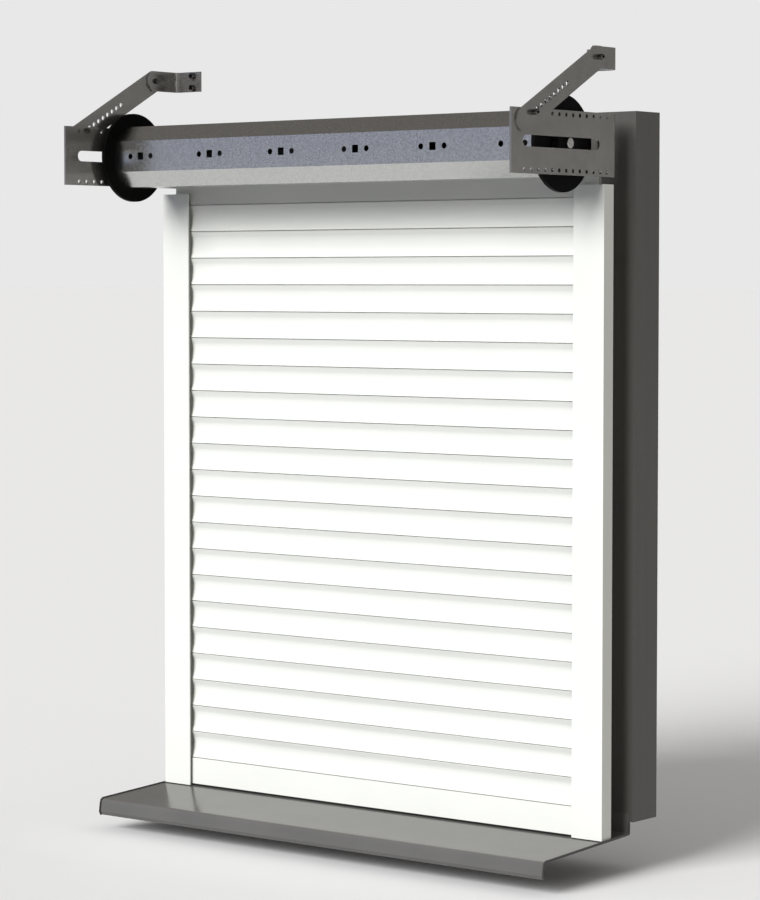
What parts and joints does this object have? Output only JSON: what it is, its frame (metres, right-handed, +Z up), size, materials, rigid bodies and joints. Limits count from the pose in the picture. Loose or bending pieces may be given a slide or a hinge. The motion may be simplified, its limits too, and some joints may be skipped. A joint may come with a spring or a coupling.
{
  "type": "exterior roller shutter",
  "caption": "Open-built exterior roller shutter: slatted curtain in guide rails, eight-sided shaft on slotted wall brackets, sloping sill and dark window frame.",
  "frame": {"origin": "middle of the back face of the window frame's base member", "axes": "+X along the window to the viewer's right, +Y into the building, +Z up"},
  "size_m": [0.852, 0.344, 1.1426],
  "materials": {
    "frame_grey": "satin",
    "sill_grey": "gloss",
    "sill_edge": "satin",
    "rail_white": "satin",
    "slat_white": "satin",
    "brush_black": "matte",
    "zinc_steel": "satin",
    "bracket_steel": "satin",
    "bolt_steel": "satin",
    "bolt_dark": "satin",
    "black_plastic": "matte",
    "motor_paint": "satin",
    "seal_rubber": "matte"
  },
  "bodies": {
    "frame_and_brackets": {"frame_head": "frame_grey", "frame_base": "frame_grey", "frame_jamb_left": "frame_grey", "frame_jamb_right": "frame_grey", "sill": "sill_grey", "sill_trims": "sill_edge", "guide_rail_left": "rail_white", "guide_rail_right": "rail_white", "rail_brushes": "brush_black", "rail_standoffs": "zinc_steel", "frame_screws": "zinc_steel", "bracket_plate_left": "bracket_steel", "bracket_plate_right": "bracket_steel", "strut_left": "bracket_steel", "strut_right": "bracket_steel", "foot_left": "bracket_steel", "foot_right": "bracket_steel", "axle_pin": "bolt_steel", "bracket_bolts": "bolt_dark", "block_screws": "bolt_dark", "axle_block": "black_plastic", "motor_bracket": "black_plastic", "motor_head": "black_plastic", "motor_body": "motor_paint"},
    "winding_shaft": {"shaft_tube": "zinc_steel", "disc_left": "black_plastic", "disc_right": "black_plastic", "disc_screws": "zinc_steel", "end_capsule": "black_plastic", "axle_bearing": "bolt_steel", "crown_ring": "black_plastic", "drive_wheel": "black_plastic"},
    "curtain": {"slat_01": "slat_white", "slat_02": "slat_white", "slat_03": "slat_white", "slat_04": "slat_white", "slat_05": "slat_white", "slat_06": "slat_white", "slat_07": "slat_white", "slat_08": "slat_white", "slat_09": "slat_white", "slat_10": "slat_white", "slat_11": "slat_white", "slat_12": "slat_white", "slat_13": "slat_white", "slat_14": "slat_white", "slat_15": "slat_white", "slat_16": "slat_white", "slat_17": "slat_white", "slat_18": "slat_white", "slat_19": "slat_white", "slat_20": "slat_white", "slat_21": "slat_white", "slat_22": "slat_white", "end_slat": "slat_white", "bottom_seal": "seal_rubber", "curtain_straps": "zinc_steel"}
  },
  "joints": [
    {"name": "curtain_lift", "type": "slide", "parent": "frame_and_brackets", "child": "curtain", "axis": [0, 0, 1], "range_m": [0, 0.86]},
    {"name": "shaft_spin", "type": "hinge", "parent": "frame_and_brackets", "child": "winding_shaft", "pos_m": [0, -0.208, 0.93325], "axis": [1, 0, 0], "range_deg": [0, 790]}
  ],
  "couplings": [
    {"joint": "shaft_spin", "follows": "curtain_lift", "rad_per_m": 16}
  ]
}
